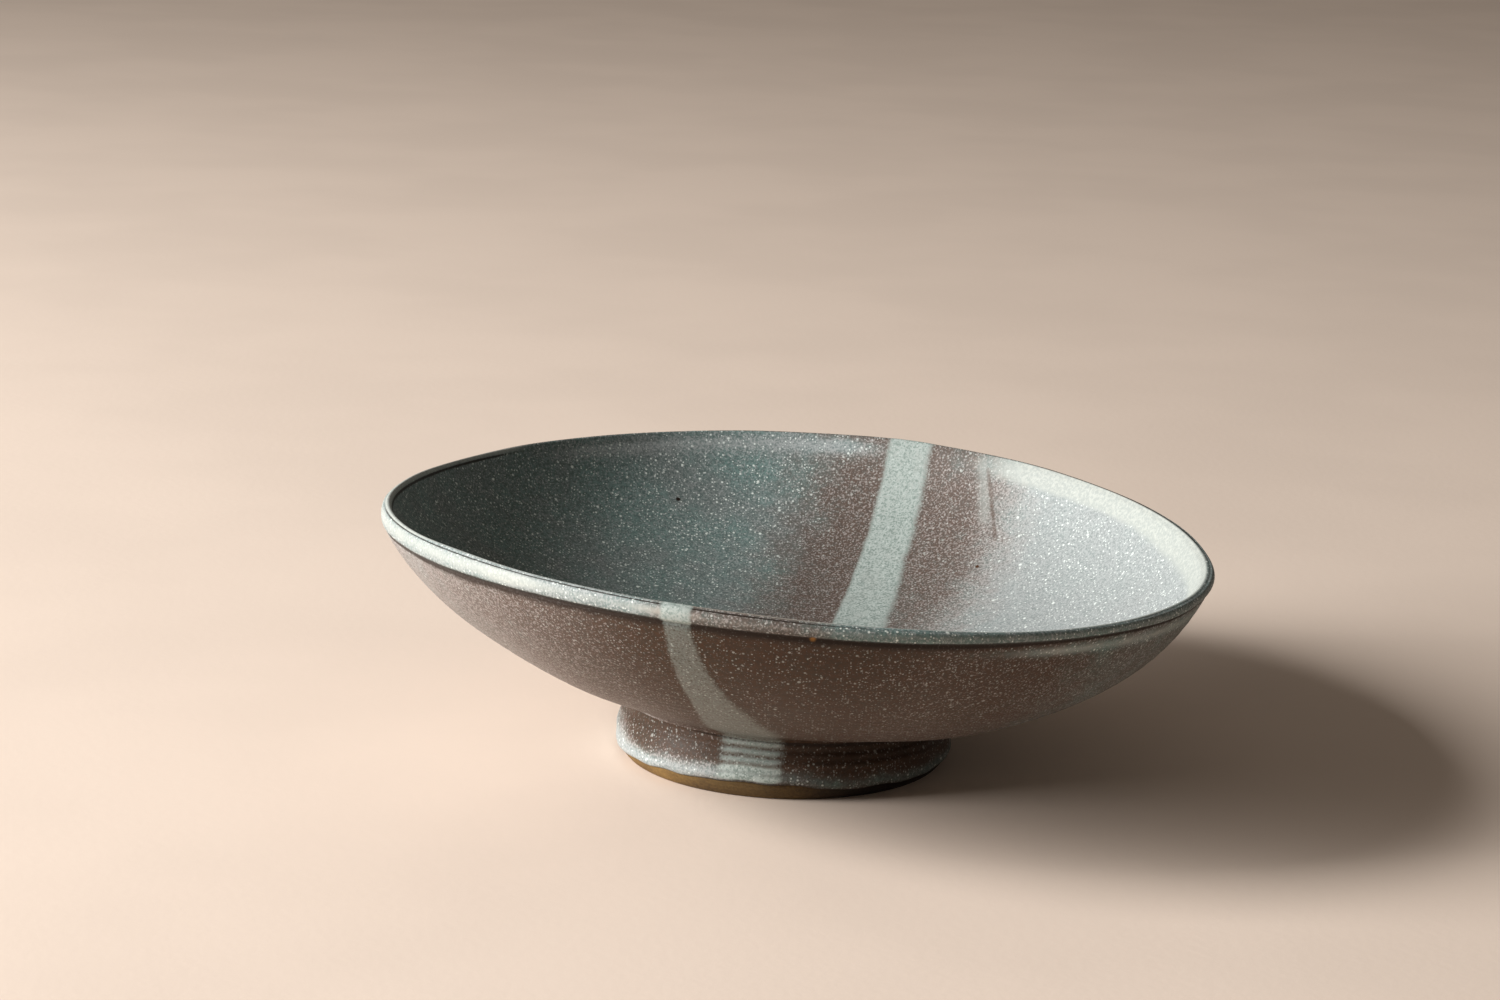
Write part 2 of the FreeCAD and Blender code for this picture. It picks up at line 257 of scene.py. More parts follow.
def dish_places(edge, middle_height):
    """A shallow dish from its edge in to the pot's axis."""
    radius = np.linspace(edge[0], 0, 150)
    height = middle_height + (edge[1] - middle_height) * (radius / edge[0])**2
    return places(radius, height, 0, LIP_END)


class Profile:
    """Sections joined into one path, with the distance along it of each section's end."""

    def __init__(self, **sections):
        joined = np.concatenate(list(sections.values()))
        path = np.concatenate([[0], np.cumsum(np.hypot(*np.diff(joined[:, :2], axis=0).T))])
        ends = np.cumsum([len(section) for section in sections.values()]) - 1
        self.marks = dict(zip(sections, path[ends]))
        self.path = np.arange(0, path[-1] + PROFILE_STEP, PROFILE_STEP)
        self.places = np.stack([np.interp(self.path, path, column) for column in joined.T], -1)

    def soften(self, centre, reach, spread):
        """Rounds the section's corners within reach of a place on the path."""
        size = int(3 * spread / PROFILE_STEP)
        kernel = hump(np.arange(-size, size + 1) * PROFILE_STEP, 0, spread)
        kernel /= kernel.sum()
        share = np.exp(-((self.path - centre) / reach) ** 4)
        for column in (0, 1):
            padded = np.pad(self.places[:, column], size, "edge")
            soft = np.convolve(padded, kernel, "valid")
            self.places[:, column] += share * (soft - self.places[:, column])

    def at(self, path):
        return [np.interp(path, self.path, column) for column in self.places.T]


def rows_between(start, end, spacing):
    return np.linspace(start, end, max(2, round(abs(end - start) / spacing)), endpoint=False)


# ---------------- the glazed skin

WAX_OVERLAP = 0.4
WAX_WANDER = 0.42
WAX_DROP = 2.0
WAX_RISE = 1.7
WAX_REACH = 6.0
NECK_SOFT_REACH = 5.0
LIP_SOFT_REACH = 4.2
SOFTNESS = 1.8
LOWEST_GLAZE = 1.0
COAT_BACK_RISE = 0.8
COAT_BACK_TOP = NECK_HEIGHT - 2.0
COAT_EDGE = 0.35

# How far each of the hand's marks stands off the plain surface, and how far apart its rings are.
DEEPEST_RELIEF = 0.5
WOBBLE_DEPTH = 0.30
DENT_DEPTH = 0.10
RING_SPACING = 4.6
INSIDE_RING_DEPTH = 0.05
OUTSIDE_RING_DEPTH = 0.07
NECK_RING_SPACING = 2.4
NECK_RING_DEPTH = 0.10
RIDGE_SPACING = 2.9
RIDGE_DEPTH = 0.22
LIP_WANDER = 0.16
LIP_RIDGE = 0.24
LIP_CHANNEL = 0.30
GROOVE_DEPTH = 0.50

# The least of each mask, for points that nothing sees.
NO_MASKS = {"frost": 0.0, "iron": 0.0, "cream": 0.0, "rust_and_shade": 0.0}


def within(part, masks):
    """Masks limited to a part of the skin."""
    return {name: grid * part for name, grid in masks.items()}


def glaze_profile():
    inner = inner_wall_places(GLAZE)
    profile = Profile(
        foot=foot_places(GLAZE, LOWEST_GLAZE),
        wall=outer_wall_places(GLAZE),
        lip=lip_places(GLAZE),
        inside=inner,
        floor=dish_places(inner[-1], FLOOR_HEIGHT),
    )
    profile.soften(profile.marks["foot"], NECK_SOFT_REACH, SOFTNESS)
    profile.soften(profile.marks["lip"], LIP_SOFT_REACH, SOFTNESS)
    return profile


class Skin:
    """The glazed surface: a grid of rows, from the foot's glaze line to the floor's middle, by columns.

    neck, groove and brink are the rows where the foot ends, where the lip starts and where it ends.
    """

    def __init__(self):
        profile = glaze_profile()
        self.foot_top, self.wall_top, self.lip_end = (profile.marks[name] for name in ("foot", "wall", "lip"))
        self.wax_path = self.find_wax_path(profile)
        self.path = self.row_paths(profile.path[-1])
        self.on_foot = self.path < self.foot_top
        self.on_wall = (self.path >= self.foot_top) & (self.path < self.wall_top)
        self.on_lip = (self.path >= self.wall_top) & (self.path <= self.lip_end)
        self.in_bowl = self.path > self.lip_end
        self.down = self.wall_top - self.path
        self.inward = self.path - self.lip_end
        self.radius, height, sag, self.turn = profile.at(self.path)
        self.points = alter(self.radius, height, sag, ANGLES)
        normals = self.find_normals()
        self.points = self.points + normals * self.relief()[..., None]
        self.normals = self.find_normals()
        self.outer_lip = smoothstep(122, 96, self.turn)
        self.masks = self.glaze_masks()

    def find_wax_path(self, profile):
        """Where on the profile the glaze ends, in each direction: a line that wanders over the wax."""
        wax = WAX_HEIGHT - WAX_OVERLAP + WAX_WANDER * waves(0.0, (2, 5, 9, 14, 23), 1, seed=4)
        wax = wax - WAX_DROP * facing(178, 12, 26) + WAX_RISE * facing(-102, 10, 28)
        low = slice(round(WAX_REACH / PROFILE_STEP))
        return np.interp(wax, profile.places[low, 1], profile.path[low])

    def row_paths(self, end):
        """Each point's distance along the profile. The foot's rows spread out from the wax line."""
        foot_top, top, brink = self.foot_top, self.wall_top, self.lip_end
        shares = rows_between(0, 1, FOOT_ROW / foot_top)[:, None]
        foot = self.wax_path + (foot_top - self.wax_path) * shares
        wall = np.concatenate([
            rows_between(foot_top, foot_top + NECK_ZONE, NECK_ROW),
            rows_between(foot_top + NECK_ZONE, top - RIM_ZONE, WALL_ROW),
            rows_between(top - RIM_ZONE, top - GROOVE_ZONE, EDGE_ROW),
            rows_between(top - GROOVE_ZONE, top, FINE_ROW),
        ])
        lip = rows_between(top, brink, FINE_ROW)
        bowl = np.concatenate([
            rows_between(brink, brink + RIM_ZONE, EDGE_ROW),
            rows_between(brink + RIM_ZONE, end, WALL_ROW),
            [end],
        ])
        self.neck = len(foot)
        self.groove = self.neck + len(wall)
        self.brink = self.groove + len(lip)
        level = np.concatenate([wall, lip, bowl])[:, None] * np.ones(AROUND)
        return np.concatenate([foot, level])

    def find_normals(self):
        around = np.roll(self.points, -1, 1) - np.roll(self.points, 1, 1)
        across = np.gradient(self.points, axis=0)
        normals = np.cross(around, across)
        normals[-1] = (0, 0, 1)
        return normals / np.maximum(np.linalg.norm(normals, axis=-1), 1e-12)[..., None]

    def relief(self):
        """How far the thrown and glazed surface stands off the plain one."""
        path, inward = self.path, self.inward
        wobble = WOBBLE_DEPTH * waves(path, (2, 3, 4, 5, 7), 130, seed=11)
        wobble += DENT_DEPTH * waves(path, (8, 11, 13), 45, seed=12)
        wobble *= smoothstep(0, 40, np.abs(path - self.foot_top))
        uneven = ANGLES + 0.8 * waves(path, (1, 2, 3), 60, seed=13)
        rings = ripple(path, RING_SPACING, uneven)
        rings *= 1 + 0.6 * waves(path, (1, 2, 4), 50, seed=14)
        inside = INSIDE_RING_DEPTH * smoothstep(6, 25, inward)
        rings *= np.where(inward > 0, inside, OUTSIDE_RING_DEPTH * smoothstep(3, 20, self.down))
        throwing = hump(path, self.foot_top + 9, 9) * ripple(path, NECK_RING_SPACING, 0.5 * ANGLES)
        total = wobble + rings + self.on_wall * NECK_RING_DEPTH * throwing
        total += self.foot_relief() + self.lip_relief()
        return np.where(total < 0, DEEPEST_RELIEF * np.tanh(total / DEEPEST_RELIEF), total)

    def foot_relief(self):
        """Throwing ridges, and the thick roll that the glaze ends in above the wax."""
        path, top = self.path, self.foot_top
        above = path - self.wax_path
        ridges = ripple(path - top, RIDGE_SPACING, 0.6 * waves(path, (1, 2, 3), 30, seed=15))
        ridges *= RIDGE_DEPTH * hump(path, top - 5, 4.5) * smoothstep(0, 1.2, top - path)
        ridges *= 0.3 + 0.7 * facing(-45, 60, 25)
        edge = 1 - np.sqrt(1 - np.clip(1 - above, 0, 1)**2)
        pooled = (0.28 + 0.35 * facing(-165, 45, 30)) * hump(above, 1.8, 1.3)
        return self.on_foot * (ridges + pooled - GLAZE * edge)

    def lip_relief(self):
        """A bead outside, a fine ridge inside it with a channel between them, and the groove below."""
        path, turn = self.path, self.turn
        wander = LIP_WANDER * waves(path, (3, 5, 8, 12, 17), 40, seed=16) * hump(turn, 60, 110)
        ridge = LIP_RIDGE * hump(turn, 110, 17) - LIP_CHANNEL * hump(turn, 68, 12)
        ridge *= 1 + 0.25 * waves(path, (4, 7, 9), 40, seed=17)
        groove = -GROOVE_DEPTH * hump(path, self.wall_top, 0.8)
        groove *= 1 + 0.25 * waves(path, (3, 8, 15), 40, seed=18)
        return wander + ridge * self.on_lip + groove

    def glaze_masks(self):
        """How much of each of the glaze's looks shows, 0 to 1, at each point.

        iron is where it is thin and brown, frost where fine pale specks crowd it, cream where it pooled
        pale, with a painted highlight along the front lip's inner ridge, and rust where it broke dark on an
        edge, darker in the lip's groove and channel, and painted shade under the front of the lip and on the
        foot's neck and right side.
        """
        totals = {name: np.zeros(self.path.shape) for name in NO_MASKS}
        for part in (self.inside_masks(), self.lip_masks(), self.wall_masks(), self.foot_masks()):
            for name, grid in part.items():
                totals[name] += grid
        return {name: np.clip(grid, 0, 1) for name, grid in totals.items()}

    def inside_masks(self):
        across, along, half = band_place(self.points[..., 0], self.points[..., 1])
        left, right = np.clip(-across - half, 0, None), np.clip(across - half, 0, None)
        on_right = across >= 0
        far = smoothstep(40, 120, along)
        cream = smoothstep(14 - 4 * facing(60, 30, 20), 3, self.inward) * facing(16, 28, 26)
        iron_right = (0.72 + 0.12 * far) * smoothstep(58 + 10 * far, 8 + 10 * far, right)
        iron = np.where(on_right, iron_right, 0.88 * smoothstep(60, 2, left))
        frost = np.where(on_right, 0.36 + 0.75 * smoothstep(18 * far, 62, right), 0.34)
        under_rim = hump(self.inward, 2.0, 3.5) * facing(102, 18, 12)
        iron = iron * (1 - cream) * (1 - under_rim)
        masks = {"iron": iron, "frost": frost + 0.45 * under_rim, "cream": cream}
        return within(self.in_bowl + self.on_lip * (1 - self.outer_lip), masks)

    def lip_masks(self):
        turn = self.turn
        cream = 0.60 * hump(turn, 18, 52) * facing(-173, 42, 14)
        cream += 0.40 * hump(turn, 12, 36) * facing(-117, 10, 9)
        cream += 0.36 * hump(turn, 8, 26) * facing(-70, 32, 14)
        iron = 0.7 * facing(-96, 7, 8) + 0.6 * facing(90, 60, 30)
        frost = 0.36 + 0.3 * facing(-140, 26, 16)
        masks = within(self.on_lip * self.outer_lip, {"iron": iron, "frost": frost, "cream": cream})
        # The first term is pale glaze lightened as a painted highlight along the front lip's inner ridge,
        # where it catches the light.
        crest_and_highlight = 0.9 * hump(turn, 104, 21) * facing(-100, 60, 30)
        crest_and_highlight = crest_and_highlight + 0.9 * hump(turn, 100, 52) * facing(172, 34, 10)
        crest_and_highlight = crest_and_highlight + 0.9 * hump(turn, 128, 34) * facing(12, 30, 14)
        masks["cream"] = np.maximum(masks["cream"], crest_and_highlight * self.on_lip)
        # Dark in the channel between the bead and the inner ridge, at the front.
        rust_and_shade = 0.80 * hump(turn, 60, 9) * facing(-130, 34, 20)
        rust_and_shade += 0.5 * hump(turn, 60, 10) * facing(-60, 36, 20)
        # Where the glaze broke dark on the far rim's top and on the far left's inner edge.
        rust_and_shade += 0.95 * hump(turn, 84, 13) * facing(70, 62, 14)
        rust_and_shade += 0.85 * hump(turn, 150, 12) * facing(172, 28, 20)
        # Painted shade in the groove under the bead, along the front.
        rust_and_shade += 0.9 * hump(turn, -58, 26) * facing(-70, 85, 25)
        masks["rust_and_shade"] = rust_and_shade * self.on_lip
        return masks

    def wall_masks(self):
        frost = 0.16 + 0.5 * facing(178, 22, 60) + 0.28 * facing(0, 25, 40) + 0.2 * facing(90, 60, 30)
        frost = frost - 0.16 * facing(-94, 9, 16)
        cream = 0.5 * hump(self.down, 4.5, 2.6) * facing(-34, 20, 20)
        # Dark in the groove under the lip all round, and painted shade in a band just below it at the front.
        rust_and_shade = 0.95 * hump(self.down, 0, 1.1) + 0.5 * hump(self.down, 2, 2.2) * facing(-105, 32, 25)
        iron = (1 - 0.35 * facing(178, 20, 50)) * (1 - 0.45 * facing(-10, 24, 36)) * (1 - 1.6 * cream)
        return within(self.on_wall, {"iron": iron, "frost": frost, "cream": cream, "rust_and_shade": rust_and_shade})

    def foot_masks(self):
        path, top = self.path, self.foot_top
        tall = facing(178, 12, 24)
        flare = hump(path, self.wax_path + 2.0 + 2.5 * tall, 2.8 + 4 * tall)
        left = facing(-165, 44, 36)
        frost = 0.06 + flare * (0.86 * left + 0.12 * (1 - left))
        iron = 1 - 0.8 * flare * (1 - 0.35 * facing(-76, 20, 22))
        # Painted shade: a dark line under the neck and a darker band down the foot, on the front and right,
        # away from the light.
        rust_and_shade = 0.9 * hump(path, top - 0.3, 1.0) * facing(-30, 75, 40)
        rust_and_shade += 0.5 * hump(path, top - 4, 5) * facing(-35, 45, 40)
        # Darker along the glaze's lower edge, over the wax.
        rust_and_shade += 0.6 * hump(path, self.wax_path, 1.0)
        return within(self.on_foot, {"iron": iron, "frost": frost, "rust_and_shade": rust_and_shade})

    def sample(self, row, column):
        """Points, normals and masks at fractional rows and columns."""
        low_row = np.clip(np.floor(row).astype(int), 0, len(self.points) - 2)
        low_column = np.floor(column).astype(int)
        row_share = row - low_row
        column_share = column - low_column

        def mix(grid):
            shares = (row_share, column_share)
            if grid.ndim == 3:
                shares = [share[..., None] for share in shares]
            first, second = low_column % AROUND, (low_column + 1) % AROUND
            near = grid[low_row, first] * (1 - shares[1]) + grid[low_row, second] * shares[1]
            far = grid[low_row + 1, first] * (1 - shares[1]) + grid[low_row + 1, second] * shares[1]
            return near * (1 - shares[0]) + far * shares[0]

        masks = {name: mix(grid) for name, grid in self.masks.items()}
        return mix(self.points), mix(self.normals), masks


# ---------------- the pale band's outline


def band_place(x, y):
    """(across, along, half width): a plan point's distance from the band's middle line, and along it."""
    across = (x - BAND_OFFSET) * math.cos(BAND_ANGLE) + y * math.sin(BAND_ANGLE)
    along = -(x - BAND_OFFSET) * math.sin(BAND_ANGLE) + y * math.cos(BAND_ANGLE)
    return across, along, band_half_width(along)


def band_half_width(along):
    ends = (-BAND_HALF_LENGTH, 0, BAND_HALF_LENGTH)
    return np.interp(along, ends, (BAND_FRONT_WIDTH / 2, BAND_MIDDLE_WIDTH / 2, BAND_BACK_WIDTH / 2))


def band_plan(across, along):
    x = BAND_OFFSET + across * math.cos(BAND_ANGLE) - along * math.sin(BAND_ANGLE)
    y = across * math.sin(BAND_ANGLE) + along * math.cos(BAND_ANGLE)
    return x, y


# ---------------- meshes


def stitch(first, second):
    """Faces between two rings of vertex numbers, where one may have half as many as the other."""
    if len(first) == len(second):
        after = np.roll(first, -1), np.roll(second, -1)
        return np.stack([first, after[0], after[1], second], -1).tolist()
    if len(first) < len(second):
        return [face[::-1] for face in stitch(second, first)]
    even, odd, following = first[0::2], first[1::2], np.roll(first[0::2], -1)
    after = np.roll(second, -1)
    faces = np.concatenate([
        np.stack([even, odd, second], -1),
        np.stack([odd, after, second], -1),
        np.stack([odd, following, after], -1),
    ])
    return faces.tolist()


def ring_step(radius):
    """Every how many columns a ring of this radius needs a vertex."""
    step = 1
    while step < AROUND / 16 and 2 * np.pi * radius / AROUND * step * 2 <= CHORD:
        step *= 2
    return step


def signed_volume(vertices, faces):
    """Six times the volume that a closed mesh holds, and less than 0 if its faces look inwards."""
    fans = [(face[0], *edge) for face in faces for edge in zip(face[1:], face[2:])]
    first, second, third = vertices[np.array(fans).T]
    return (first * np.cross(second, third)).sum()


def make_mesh(name, vertices, faces, masks, material):
    """A mesh object from millimetre points, facing outwards, with its masks as vertex attributes."""
    vertices = np.asarray(vertices)
    if signed_volume(vertices, faces) < 0:
        faces = [face[::-1] for face in faces]
    mesh = bpy.data.meshes.new(name)
    mesh.from_pydata((vertices * MM).tolist(), [], faces)
    mesh.polygons.foreach_set("use_smooth", [True] * len(faces))
    mesh.set_sharp_from_angle(angle=SHARP_ANGLE)
    for mask, values in masks.items():
        attribute = mesh.attributes.new(mask, "FLOAT", "POINT")
        attribute.data.foreach_set("value", np.asarray(values, np.float32))
    mesh.materials.append(material)
    return new_object(name, mesh)


def ring_body(name, rings, closed, material):
    """A closed mesh through rings of (points, masks).

    closed joins the last ring to the first; otherwise a ring of one point ends the mesh at each end.
    """
    vertices, faces, numbers, masks = [], [], [], {}
    for points, ring_masks in rings:
        numbers.append(np.arange(len(vertices), len(vertices) + len(points)))
        vertices.extend(points.tolist())
        for mask, values in ring_masks.items():
            masks.setdefault(mask, []).extend(np.broadcast_to(values, len(points)).tolist())
    pairs = list(zip(numbers, numbers[1:] + numbers[:1]))
    for first, second in pairs if closed else pairs[:-1]:
        if len(first) == 1:
            faces.extend([int(first[0]), int(a), int(b)] for a, b in zip(np.roll(second, -1), second))
        elif len(second) == 1:
            faces.extend([int(second[0]), int(a), int(b)] for a, b in zip(first, np.roll(first, -1)))
        else:
            faces.extend(stitch(first, second))
    return make_mesh(name, vertices, faces, masks, material)


def skin_rings(skin, start, end):
    """The skin's rings from one row to another, thinned out towards the pot's middle."""
    rings = []
    for row in range(start, end):
        step = ring_step(skin.radius[row].mean())
        masks = {name: grid[row, ::step] for name, grid in skin.masks.items()}
        rings.append((skin.points[row, ::step], masks))
    return rings


def plain_ring(place, step):
    radius, height, sag, _ = place
    return alter(radius, height, sag, ANGLES[::step]), NO_MASKS


def middle_point(height):
    """The ring of one point that ends a mesh on the pot's axis."""
    return np.array([[0, 0, height]]), NO_MASKS


def plain_rings(section, rows, steps):
    """Rings on a plain section, for a side that nothing sees.

    steps says every how many columns the first ring, the ones between and the last one have a point.
    """
    first, between, last = steps
    picks = np.linspace(0, len(section) - 1, rows).round().astype(int)
    ring_steps = [first] + [between] * (rows - 2) + [last]
    return [plain_ring(section[pick], step) for pick, step in zip(picks, ring_steps)]


def rings_under_liner(lip_steps):
    """The clay over the lip, down the inside and across the floor, where the liner glaze lies on it."""
    inner = inner_wall_places(0)
    floor = dish_places(inner[-1], FLOOR_HEIGHT - GLAZE)
    rings = plain_rings(lip_places(0), HIDDEN_LIP_ROWS, lip_steps)
    rings += plain_rings(inner, HIDDEN_ROWS, COARSE_STEPS)
    rings += [plain_ring(place, max(HIDDEN_STEP, ring_step(place[0]))) for place in floor[8:-4:8]]
    return rings + [middle_point(FLOOR_HEIGHT - GLAZE)]


def make_liner(skin, material):
    """The glaze inside and over the lip, with its clay side under it."""
    middle = [(skin.points[-1, :1], {name: grid[-1, :1] for name, grid in skin.masks.items()})]
    seen = skin_rings(skin, skin.groove, len(skin.points) - 1)
    return ring_body("glazed_liner", middle + seen[::-1] + rings_under_liner(EDGE_STEPS), False, material)


def make_wall_coat(skin, material):
    """The glaze on the outside wall, from the neck up to the groove."""
    seen = skin_rings(skin, skin.neck, skin.groove + 1)
    hidden = plain_rings(outer_wall_places(0)[::-1], HIDDEN_ROWS, EDGE_STEPS)
    return ring_body("glazed_wall", seen + hidden, True, material)


def make_foot_coat(skin, material):
    """The glaze on the foot: it ends in a thick, wandering roll above the bare edge."""
    seen = skin_rings(skin, 0, skin.neck + 1)
    section = foot_places(0, LOWEST_GLAZE)
    start = skin.points[0]
    low = np.maximum(WAX_HEIGHT, start[::2, 2] + COAT_BACK_RISE)
    hidden = [plain_ring(section[-1], 2)]
    for share in np.linspace(1, 0, HIDDEN_COAT_ROWS):
        height = COAT_BACK_TOP * share + low * (1 - share)
        radius = np.interp(height, section[:, 1], section[:, 0])
        hidden.append((alter(radius, height, 0, ANGLES[::2]), NO_MASKS))
    inward = np.stack([np.cos(ANGLES), np.sin(ANGLES), np.zeros(AROUND)], -1) * COAT_EDGE
    hidden.append((start - inward, NO_MASKS))
    return ring_body("glazed_foot", seen + hidden, True, material)


# ---------------- materials

SPECK_EDGE = 0.5


class Nodes:
    """Short forms for building one material's node tree. Inputs are sockets or constants."""

    def __init__(self, name):
        self.material = bpy.data.materials.new(name)
        self.material.use_nodes = True
        self.tree = self.material.node_tree
        self.tree.nodes.clear()
        self.place = self.tree.nodes.new("ShaderNodeTexCoord").outputs["Object"]

    def set(self, socket, value):
        if isinstance(value, bpy.types.NodeSocket):
            self.tree.links.new(value, socket)
        elif isinstance(value, tuple) and len(value) == 3 and socket.type == "RGBA":
            socket.default_value = (*value, 1)
        else:
            socket.default_value = value

    def add(self, kind, output, inputs, **settings):
        node = self.tree.nodes.new(kind)
        for key, value in settings.items():
            setattr(node, key, value)
        for key, value in inputs.items():
            self.set(node.inputs[key], value)
        return node.outputs[output]

    def math(self, operation, first, second=0.0, clamp=False):
        inputs = {0: first, 1: second}
        return self.add("ShaderNodeMath", 0, inputs, operation=operation, use_clamp=clamp)

    def times(self, first, second):
        return self.math("MULTIPLY", first, second)

    def plus(self, first, second):
        return self.math("ADD", first, second)

    def noise(self, size, detail, roughness=0.5):
        """Noise from 0 to 1 whose largest lumps are about size millimetres."""
        inputs = {"Vector": self.place, "Scale": 1 / (size * MM), "Detail": detail, "Roughness": roughness}
        return self.add("ShaderNodeTexNoise", "Fac", inputs)

    def between(self, value, low, high):
        """0 below low and 1 above high."""
        inputs = {"Value": value, "From Min": low, "From Max": high}
        return self.add("ShaderNodeMapRange", 0, inputs, interpolation_type="SMOOTHSTEP")

    def mix(self, share, first, second):
        node = self.tree.nodes.new("ShaderNodeMix")
        node.data_type = "RGBA"
        colours = [socket for socket in node.inputs if socket.type == "RGBA"]
        self.set(node.inputs[0], share)
        self.set(colours[0], first)
        self.set(colours[1], second)
        return [socket for socket in node.outputs if socket.type == "RGBA"][0]

    def over(self, colour, tone, mask, most):
        """A colour with a tone laid over it where the mask is, most of it at the mask's full strength."""
        return self.mix(self.times(mask, most), colour, tone)

    def attribute(self, name):
        return self.add("ShaderNodeAttribute", "Fac", {}, attribute_name=name)

    def specks(self, spacing, largest, share):
        """Round specks: one in some of the cells that are spacing millimetres apart."""
        node = self.tree.nodes.new("ShaderNodeTexVoronoi")
        self.set(node.inputs["Vector"], self.place)
        self.set(node.inputs["Scale"], 1 / (spacing * MM))
        lot = self.add("ShaderNodeSeparateColor", 0, {"Color": node.outputs["Color"]})
        radius = self.between(lot, 1 - share, 1.0)
        reach = self.times(radius, largest / spacing)
        near = self.math("SUBTRACT", reach, node.outputs["Distance"])
        return self.between(near, 0.0, SPECK_EDGE * largest / spacing)

    def blend(self, first, second, share):
        """Two numbers mixed: share of the second, and the rest of the first."""
        return self.plus(self.times(first, 1 - share), self.times(second, share))

    def nudge(self, value, noise, strength):
        """A value made larger or smaller by noise around 0.5."""
        return self.plus(value, self.times(self.math("SUBTRACT", noise, 0.5), strength))

    def break_up(self, mask, noise, width, strength):
        """A mask whose edge is broken by noise."""
        return self.between(self.nudge(mask, noise, strength), 0.5 - width, 0.5 + width)

    def vector(self, operation, first, second):
        output = "Value" if operation in ("DISTANCE", "DOT_PRODUCT") else "Vector"
        return self.add("ShaderNodeVectorMath", output, {0: first, 1: second}, operation=operation)

    def spot(self, centre, radius, softness=0.4):
        """1 within a radius of a place, both in millimetres."""
        away = self.vector("DISTANCE", self.place, [value * MM for value in centre])
        return self.between(away, radius * MM, radius * (1 - softness) * MM)

    def streak(self, start, end, radius, softness):
        """1 within a radius of the straight line between two places."""
        run = [(b - a) * MM for a, b in zip(start, end)]
        square = sum(value**2 for value in run)
        away = self.vector("SUBTRACT", self.place, [value * MM for value in start])
        share = self.math("DIVIDE", self.vector("DOT_PRODUCT", away, run), square, clamp=True)
        along = self.add("ShaderNodeVectorMath", "Vector", {0: run, "Scale": share}, operation="SCALE")
        off = self.vector("DISTANCE", away, along)
        return self.between(off, radius * MM, radius * (1 - softness) * MM)

    def bump(self, height, distance, normal=None):
        inputs = {"Height": height, "Distance": distance * MM, "Strength": 1.0}
        if normal is not None:
            inputs["Normal"] = normal
        return self.add("ShaderNodeBump", "Normal", inputs)

    def finish(self, colour, roughness, normal, **constants):
        shader = self.tree.nodes.new("ShaderNodeBsdfPrincipled")
        self.set(shader.inputs["Base Color"], colour)
        self.set(shader.inputs["Roughness"], roughness)
        self.set(shader.inputs["Normal"], normal)
        for key, value in constants.items():
            shader.inputs[key.replace("_", " ")].default_value = value
        output = self.tree.nodes.new("ShaderNodeOutputMaterial")
        self.tree.links.new(shader.outputs[0], output.inputs["Surface"])
        return self.material


COOL_GREY = (0.135, 0.226, 0.212)
MAUVE_GREY = (0.170, 0.196, 0.192)
DEEP_GREY = (0.050, 0.088, 0.082)
SPECK_WHITE = (0.76, 0.82, 0.78)
IRON_BROWN = (0.036, 0.014, 0.004)
IRON_RED = (0.062, 0.025, 0.010)
FROST = (0.405, 0.425, 0.425)
FROST_DEEP = (0.275, 0.290, 0.292)
FROST_WARM = (0.43, 0.35, 0.325)
CREAM = (0.45, 0.47, 0.435)
CREAM_GREY = (0.35, 0.375, 0.355)
BEIGE = (0.33, 0.265, 0.22)
# The dark of broken glaze and of the pinhole, and of painted shade under the lip and on the foot.
RUST_AND_SHADE_DARK = (0.016, 0.009, 0.006)
ORANGE = (0.26, 0.12, 0.03)
PALE = (0.42, 0.474, 0.452)
PALE_DEEP = (0.175, 0.22, 0.20)

# Single marks in the glaze: places on the surface.
PINHOLE = (-44.4, 131.8, 60.7)
IRON_SPOT = (73.9, 90.2, 48.1)
ORANGE_SPOT = (7.2, -159.6, 87.9)
CREASE = ((78.7, 126.6, 78.6), (80.0, 114.5, 66.6), (81.1, 100.6, 56.7))
RUN = ((76.9, 130.1, 80.2), (77.4, 112.0, 61.5))


class GlazeGrain:
    """The noises that every part of the speckled glaze shares."""

    def __init__(self, nodes):
        self.broad = nodes.noise(38, 3)
        self.cloudy = nodes.noise(9, 4, 0.6)
        self.fine = nodes.noise(1.3, 4, 0.7)
        self.grain = nodes.noise(0.8, 2, 0.55)


def glaze_ground(nodes, grain):
    """Teal to mauve grey, or iron brown where the glaze is thin."""
    tone = nodes.between(nodes.blend(grain.broad, grain.cloudy, 0.4), 0.36, 0.64)
    ground = nodes.mix(tone, COOL_GREY, MAUVE_GREY)
    deep = nodes.times(nodes.between(grain.fine, 0.42, 0.58), 0.75)
    ground = nodes.mix(deep, ground, DEEP_GREY)
    iron = nodes.break_up(nodes.attribute("iron"), grain.cloudy, 0.42, 0.6)
    brown = nodes.mix(nodes.between(grain.fine, 0.4, 0.6), IRON_BROWN, IRON_RED)
    return nodes.over(ground, brown, iron, 0.92), iron


def glaze_specks(nodes, iron, frost):
    """Round white specks of three sizes, fewer where the glaze is brown or frosted."""
    specks = nodes.math("MAXIMUM", nodes.specks(1.0, 0.42, 0.7), nodes.specks(1.8, 0.62, 0.5))
    specks = nodes.math("MAXIMUM", specks, nodes.specks(3.6, 0.85, 0.45))
    few = nodes.math("SUBTRACT", 1.0, nodes.times(iron, 0.68))
    return nodes.times(specks, nodes.math("SUBTRACT", few, nodes.times(frost, 0.2)))


